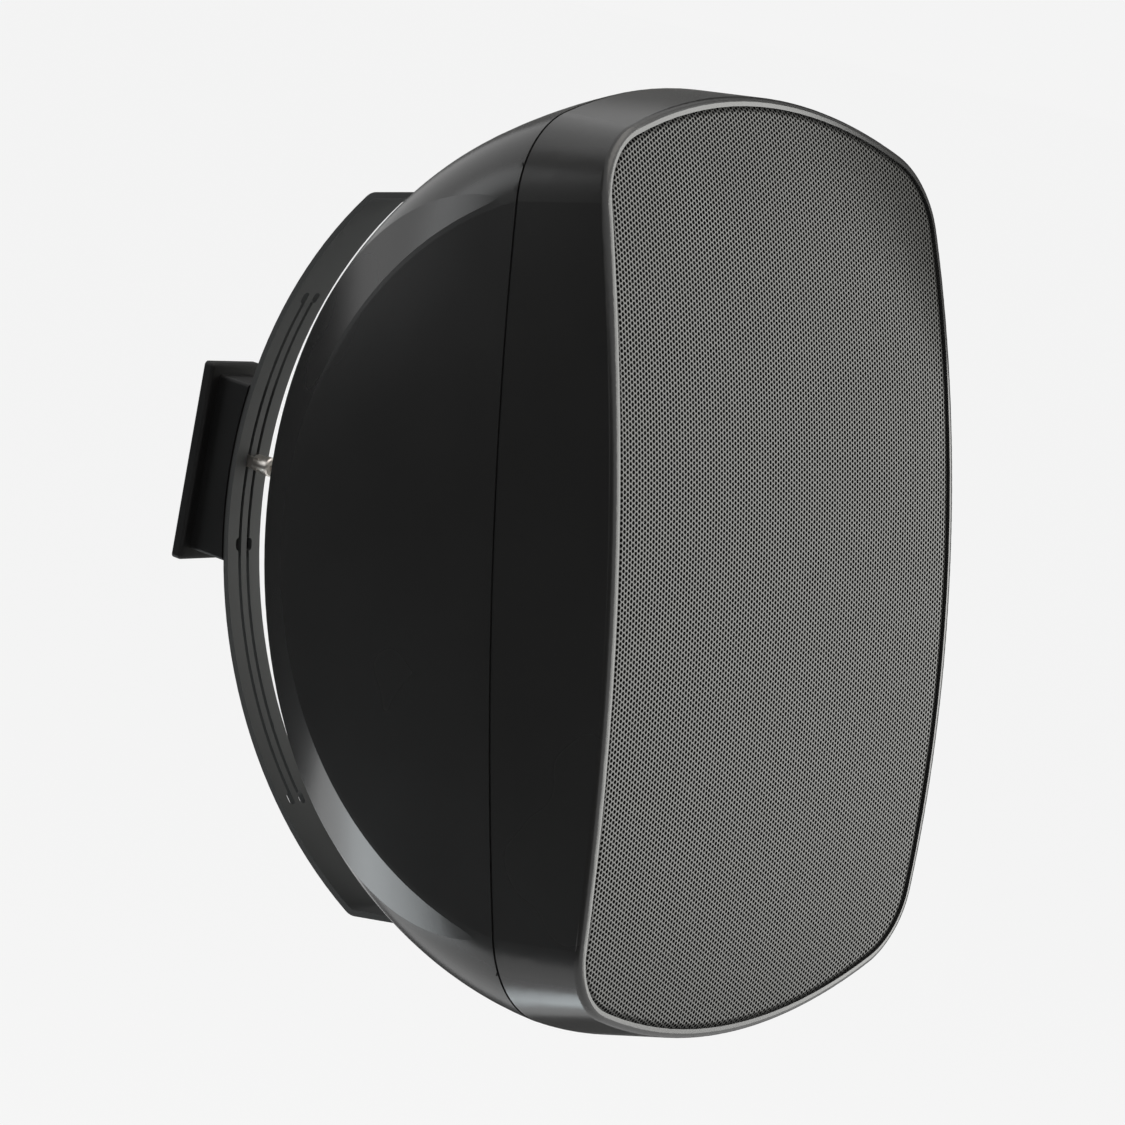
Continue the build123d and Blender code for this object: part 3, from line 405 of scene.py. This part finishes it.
def finish(name, colour, second, rough, patch, grain, depth, metal=0.0, specular=0.5, coat=0.0, stretch=None):
    """A moulded, painted or metal finish: two close colours in patches, uneven gloss and a fine grain."""
    made = bpy.data.materials.new(name)
    made.use_nodes = True
    tree = made.node_tree
    shader = tree.nodes["Principled BSDF"]
    shader.inputs["Metallic"].default_value = metal
    shader.inputs["Specular IOR Level"].default_value = specular
    shader.inputs["Coat Weight"].default_value = coat
    place = node(tree, "ShaderNodeTexCoord").outputs["Object"]
    if stretch:
        place = node(tree, "ShaderNodeMapping", {"Vector": place, "Scale": stretch}).outputs[0]
    surface = node(tree, "ShaderNodeGroup", node_tree=SURFACE)
    tree.links.new(place, surface.inputs["Place"])
    surface.inputs["Patch Size"].default_value = patch
    surface.inputs["Grain Size"].default_value = grain
    patches = surface.outputs["Patches"]
    tint = node(tree, "ShaderNodeMix", {
        MIX_SHARE: patches, MIX_FIRST: (*colour, 1), MIX_SECOND: (*second, 1)}, data_type="RGBA")
    bump = node(tree, "ShaderNodeBump", {
        "Height": surface.outputs["Grain"], "Distance": depth, "Strength": 1.0})
    tree.links.new(tint.outputs[MIX_RESULT], shader.inputs["Base Color"])
    tree.links.new(carried(tree, patches, (0.0, 1.0), rough), shader.inputs["Roughness"])
    tree.links.new(bump.outputs[0], shader.inputs["Normal"])
    return made


def dull_rim_and_paint_shade(paint):
    """The sheet's rolled rim is duller than its face, and its colour is darkened there as painted shade of
    the gap by the lip.
    """
    tree = paint.node_tree
    shader = tree.nodes["Principled BSDF"]
    rim = node(tree, "ShaderNodeAttribute", attribute_name="rim").outputs["Fac"]
    colour = shader.inputs["Base Color"].links[0].from_socket
    rough = shader.inputs["Roughness"].links[0].from_socket
    # Painted shade: the base colour is scaled down towards the rim
    shade = carried(tree, rim, (0.0, 1.0), (1.0, RIM_PAINTED_SHADE))
    dullness = carried(tree, rim, (0.0, 1.0), (1.0, RIM_ROUGHNESS))
    painted_shade_colour = node(tree, "ShaderNodeVectorMath", {0: colour, "Scale": shade}, operation="SCALE").outputs[0]
    tree.links.new(painted_shade_colour, shader.inputs["Base Color"])
    tree.links.new(maths(tree, "MULTIPLY", rough, dullness), shader.inputs["Roughness"])


HOUSING = finish("housing_plastic", (0.023, 0.0231, 0.0230), (0.026, 0.026, 0.0259), rough=(0.23, 0.28),
                 patch=90 * MM, grain=0.35 * MM, depth=0.003 * MM)
GRILLE = finish("grille_paint", (0.036, 0.036, 0.034), (0.039, 0.039, 0.037), rough=(0.42, 0.44),
                patch=40 * MM, grain=0.3 * MM, depth=0.01 * MM, specular=0.4)
# The grille's rim gets painted shade in its colour and a duller gloss
dull_rim_and_paint_shade(GRILLE)
BOW = finish("bow_paint", (0.058, 0.06, 0.06), (0.064, 0.066, 0.066), rough=(0.6, 0.66),
             patch=30 * MM, grain=0.5 * MM, depth=0.008 * MM, specular=0.3)
BASE = finish("base_plastic", (0.006, 0.006, 0.0061), (0.0075, 0.0075, 0.0075), rough=(0.5, 0.58),
              patch=30 * MM, grain=0.4 * MM, depth=0.006 * MM, specular=0.3)
STUD = finish("stud_steel", (0.76, 0.72, 0.67), (0.83, 0.79, 0.74), rough=(0.34, 0.44), metal=1.0,
              patch=4 * MM, grain=0.15 * MM, depth=0.002 * MM, stretch=(1, 6, 1))
SCREW = finish("black_zinc", (0.07, 0.07, 0.072), (0.1, 0.1, 0.1), rough=(0.3, 0.42), metal=1.0,
               patch=5 * MM, grain=0.2 * MM, depth=0.004 * MM)
RUBBER = finish("seal_rubber", (0.012, 0.012, 0.012), (0.016, 0.016, 0.016), rough=(0.7, 0.8),
                patch=20 * MM, grain=0.3 * MM, depth=0.01 * MM)
NYLON = finish("black_nylon", (0.03, 0.03, 0.03), (0.036, 0.036, 0.036), rough=(0.45, 0.55),
               patch=10 * MM, grain=0.3 * MM, depth=0.006 * MM)
BRASS = finish("bare_brass", (0.72, 0.52, 0.22), (0.6, 0.42, 0.18), rough=(0.2, 0.35), metal=1.0,
               patch=5 * MM, grain=0.15 * MM, depth=0.003 * MM)
CAST = finish("black_casting", (0.025, 0.025, 0.026), (0.032, 0.032, 0.032), rough=(0.5, 0.65),
              patch=15 * MM, grain=0.4 * MM, depth=0.02 * MM)
CONE = finish("cone_poly", (0.02, 0.02, 0.021), (0.026, 0.026, 0.027), rough=(0.5, 0.6),
              patch=20 * MM, grain=0.5 * MM, depth=0.02 * MM)
CLOTH = finish("spider_cloth", (0.5, 0.36, 0.14), (0.42, 0.3, 0.11), rough=(0.85, 0.95),
               patch=12 * MM, grain=0.6 * MM, depth=0.15 * MM)
COIL = finish("coil_foil", (0.7, 0.7, 0.7), (0.6, 0.6, 0.6), rough=(0.25, 0.4), metal=1.0,
              patch=6 * MM, grain=0.2 * MM, depth=0.004 * MM)
ZINC = finish("zinc_plate", (0.4, 0.41, 0.42), (0.5, 0.5, 0.5), rough=(0.3, 0.45), metal=1.0,
              patch=8 * MM, grain=0.3 * MM, depth=0.006 * MM)
FERRITE = finish("ferrite", (0.035, 0.035, 0.036), (0.05, 0.05, 0.05), rough=(0.6, 0.75),
                 patch=10 * MM, grain=0.5 * MM, depth=0.03 * MM)
DOME = finish("dome_foil", (0.5, 0.5, 0.52), (0.56, 0.56, 0.57), rough=(0.25, 0.35), metal=1.0,
              patch=6 * MM, grain=0.3 * MM, depth=0.003 * MM)
TRAY = finish("tray_plastic", (0.014, 0.014, 0.0145), (0.018, 0.018, 0.018), rough=(0.45, 0.55),
              patch=20 * MM, grain=0.6 * MM, depth=0.02 * MM)
RED_NUT = finish("red_nut", (0.35, 0.015, 0.014), (0.4, 0.02, 0.018), rough=(0.25, 0.35),
                 patch=5 * MM, grain=0.3 * MM, depth=0.003 * MM, coat=0.2)
BLACK_NUT = finish("black_nut", (0.012, 0.012, 0.012), (0.016, 0.016, 0.016), rough=(0.25, 0.35),
                   patch=5 * MM, grain=0.3 * MM, depth=0.003 * MM, coat=0.2)
BOARD = finish("green_board", (0.02, 0.09, 0.03), (0.03, 0.12, 0.04), rough=(0.35, 0.5),
               patch=6 * MM, grain=0.8 * MM, depth=0.02 * MM)
COPPER = finish("enamelled_copper", (0.5, 0.2, 0.08), (0.58, 0.26, 0.1), rough=(0.25, 0.35), metal=1.0,
                patch=4 * MM, grain=0.8 * MM, depth=0.15 * MM, stretch=(1, 3, 1))
FILM = finish("capacitor_film", (0.35, 0.18, 0.02), (0.42, 0.23, 0.03), rough=(0.2, 0.3),
              patch=6 * MM, grain=0.5 * MM, depth=0.01 * MM)
CERAMIC = finish("ceramic", (0.7, 0.68, 0.62), (0.78, 0.76, 0.7), rough=(0.7, 0.85),
                 patch=6 * MM, grain=0.4 * MM, depth=0.03 * MM)

WORN_BY = {
    "rear_shell": HOUSING, "front_bezel": HOUSING, "mounting_bow": BOW, "wall_base": BASE,
    "clamp_fork": STUD, "clamp_screw": STUD, "fork_pin": STUD,
    "seam_gasket": RUBBER, "terminal_gasket": RUBBER, "woofer_gasket": RUBBER,
    "woofer_surround": RUBBER, "tweeter_surround": RUBBER,
    "housing_screws": SCREW, "pivot_bolts": SCREW, "terminal_screws": SCREW,
    "woofer_screws": SCREW, "tweeter_screws": SCREW,
    "pivot_washers": NYLON, "crossover_spacers": NYLON, "pivot_inserts": BRASS, "terminal_posts": BRASS,
    "woofer_basket": CAST, "woofer_cone": CONE, "woofer_dust_cap": CONE, "woofer_spider": CLOTH,
    "woofer_voice_coil": COIL, "woofer_top_plate": ZINC, "woofer_back_plate": ZINC,
    "woofer_magnet": FERRITE, "tweeter_magnet": FERRITE, "tweeter_plate": TRAY, "tweeter_dome": DOME,
    "terminal_tray": TRAY, "terminal_collars": TRAY,
    "thumb_nut_right": RED_NUT, "thumb_nut_left": BLACK_NUT,
    "crossover_board": BOARD, "crossover_coils": COPPER, "crossover_capacitors": FILM,
    "crossover_resistor": CERAMIC,
}
for name, worn in WORN_BY.items():
    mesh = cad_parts[name].data
    mesh.materials.clear()
    mesh.materials.append(worn)

sheets = grille_sheets(GRILLE)
for sheet in sheets:
    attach(sheet, "speaker")
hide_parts("grille")


# Studio


# Brightness of the surroundings as the eye sees them, and of the light that they give
PALE = 0.905
AMBIENT = 0.3
FLOOR_Z = -0.9
FLOOR_HALF = 30.0
FLOOR_GLOW = 0.955
FLOOR_SHADE = 0.08
CARD_SHADE = 0.01
SQUARE = ((-1, -1), (1, -1), (1, 1), (-1, 1))
MIDDLE = (0.0, -0.22, 0.02)


def grey(level):
    return (level, level, level, 1)


def seen_by_eye(tree):
    """One for rays from the camera, a mirroring surface or glass, and nought for light on the object."""
    path = node(tree, "ShaderNodeLightPath").outputs
    mirrored = maths(tree, "MAXIMUM", path["Is Glossy Ray"], path["Is Transmission Ray"])
    return maths(tree, "MAXIMUM", path["Is Camera Ray"], mirrored)


def studio_world():
    """Pale surroundings that light the object softly."""
    world = bpy.data.worlds.new("studio")
    scene.world = world
    world.use_nodes = True
    tree = world.node_tree
    tree.nodes.clear()
    pale = node(tree, "ShaderNodeBackground", {"Color": grey(PALE), "Strength": 1.0}).outputs[0]
    soft = node(tree, "ShaderNodeBackground", {"Color": grey(AMBIENT), "Strength": 1.0}).outputs[0]
    both = node(tree, "ShaderNodeMixShader", {0: seen_by_eye(tree), 1: soft, 2: pale}).outputs[0]
    node(tree, "ShaderNodeOutputWorld", {0: both})


def studio_floor():
    """A pale floor that runs into the surroundings and keeps a faint shadow."""
    points = [(x * FLOOR_HALF, y * FLOOR_HALF, FLOOR_Z) for x, y in SQUARE]
    floor = new_object("floor", mesh_of("floor", points, [(0, 1, 2, 3)]))
    paint = bpy.data.materials.new("pale_floor")
    paint.use_nodes = True
    tree = paint.node_tree
    tree.nodes.clear()
    share = maths(tree, "MULTIPLY", seen_by_eye(tree), 1.0 - FLOOR_SHADE)
    pale = node(tree, "ShaderNodeEmission", {"Color": grey(FLOOR_GLOW), "Strength": 1.0}).outputs[0]
    matt = node(tree, "ShaderNodeBsdfDiffuse", {"Color": grey(PALE)}).outputs[0]
    both = node(tree, "ShaderNodeMixShader", {0: share, 1: matt, 2: pale}).outputs[0]
    node(tree, "ShaderNodeOutputMaterial", {0: both})
    floor.data.materials.append(paint)


def facing(place, target):
    """The turn that points a card or lamp from its place to a target."""
    return (Vector(target) - Vector(place)).to_track_quat("-Z", "Y")


def dark_card(name, place, target, wide, tall, shade=CARD_SHADE):
    """A dark card that keeps the pale studio or a softbox out of a reflection."""
    aim = facing(place, target)
    points = [Vector(place) + aim @ Vector((x * wide / 2, y * tall / 2, 0)) for x, y in SQUARE]
    card = new_object(name, mesh_of(name, points, [(0, 1, 2, 3)]))
    paint = bpy.data.materials.new(name)
    paint.use_nodes = True
    shader = paint.node_tree.nodes["Principled BSDF"]
    shader.inputs["Base Color"].default_value = grey(shade)
    shader.inputs["Roughness"].default_value = 1.0
    shader.inputs["Specular IOR Level"].default_value = 0.0
    card.data.materials.append(paint)
    card.visible_camera = False
    card.visible_diffuse = False
    card.visible_shadow = False


def softbox(name, place, target, wide, tall, radiance, colour):
    """An area lamp of a given brightness, which the camera doesn't see."""
    lamp = bpy.data.lights.new(name, "AREA")
    lamp.shape = "RECTANGLE"
    lamp.size = wide
    lamp.size_y = tall
    lamp.energy = radiance * math.pi * wide * tall
    lamp.color = colour
    made = new_object(name, lamp)
    made.location = place
    made.rotation_euler = facing(place, target).to_euler()
    made.visible_camera = False


studio_world()
studio_floor()

# Cards that shape the reflections in the side panels, the shell, the crescent and the lip
dark_card("left_card", place=(-0.95, 0.45, -0.3), target=(-0.1, -0.2, 0.0), wide=1.5, tall=1.3)
dark_card("back_card", place=(0.05, 0.6, -0.16), target=(-0.08, -0.1, 0.0), wide=0.75, tall=0.62)
dark_card("right_card", place=(1.0, 0.62, 0.05), target=(0.0, -0.2, 0.0), wide=1.0, tall=1.4, shade=0.15)
dark_card("lip_card", place=(0.86, 0.1, 0.72), target=(0.0, -0.25, 0.1), wide=0.7, tall=0.5)
dark_card("floor_card", place=(0.85, 0.42, -0.86), target=(0.85, 0.42, 0.0), wide=1.0, tall=0.9, shade=0.06)
dark_card("side_card", place=(1.25, -0.15, 0.1), target=(0.1, -0.3, 0.0), wide=0.75, tall=1.3)
dark_card("corner_card", place=(-0.8, 0.3, 0.58), target=(-0.13, -0.33, 0.14), wide=1.0, tall=0.75,
          shade=0.12)
dark_card("near_card", place=(-0.95, -0.62, -0.17), target=(0.0, -0.3, 0.0), wide=0.9, tall=1.0)
dark_card("panel_card", place=(0.44, -0.298, 0.0), target=(0.44, 1.0, 0.0), wide=0.62, tall=1.1)

softbox("front_softbox", place=(0.98, -1.45, 0.2), target=MIDDLE, wide=1.8, tall=1.9,
        radiance=4.9, colour=(0.99, 0.99, 0.955))
softbox("top_softbox", place=(0.1, -0.6, 1.3), target=MIDDLE, wide=1.2, tall=1.0,
        radiance=2.0, colour=(1.0, 0.96, 0.9))
softbox("crescent_softbox", place=(-0.5, 0.55, 0.3), target=(-0.11, -0.15, 0.15), wide=0.25, tall=0.5,
        radiance=1.8, colour=(0.97, 0.99, 1.0))
softbox("low_softbox", place=(-0.32, 0.65, -0.78), target=(-0.1, -0.15, -0.1), wide=0.6, tall=0.4,
        radiance=2.6, colour=(0.9, 0.97, 1.0))
softbox("floor_softbox", place=(-0.06, -0.02, -0.85), target=(-0.11, -0.25, -0.15), wide=0.22, tall=0.2,
        radiance=3.9, colour=(0.86, 0.96, 1.0))


# Camera, fitted to the photograph


CAMERA_SENSOR = 36.0
CAMERA_LENS = 110.176
CAMERA_REACH = 200.0
CAMERA_PLACE = (-1.07565, -1.00869, 0.25868)
CAMERA_TURN = (79.03586, -10.89125, -50.84740)

camera = bpy.data.cameras.new("photo_camera")
camera.sensor_width = CAMERA_SENSOR
camera.lens = CAMERA_LENS
camera.clip_end = CAMERA_REACH
camera_object = new_object("photo_camera", camera)
camera_object.location = CAMERA_PLACE
camera_object.rotation_euler = Euler([math.radians(a) for a in CAMERA_TURN], "XYZ")
scene.camera = camera_object
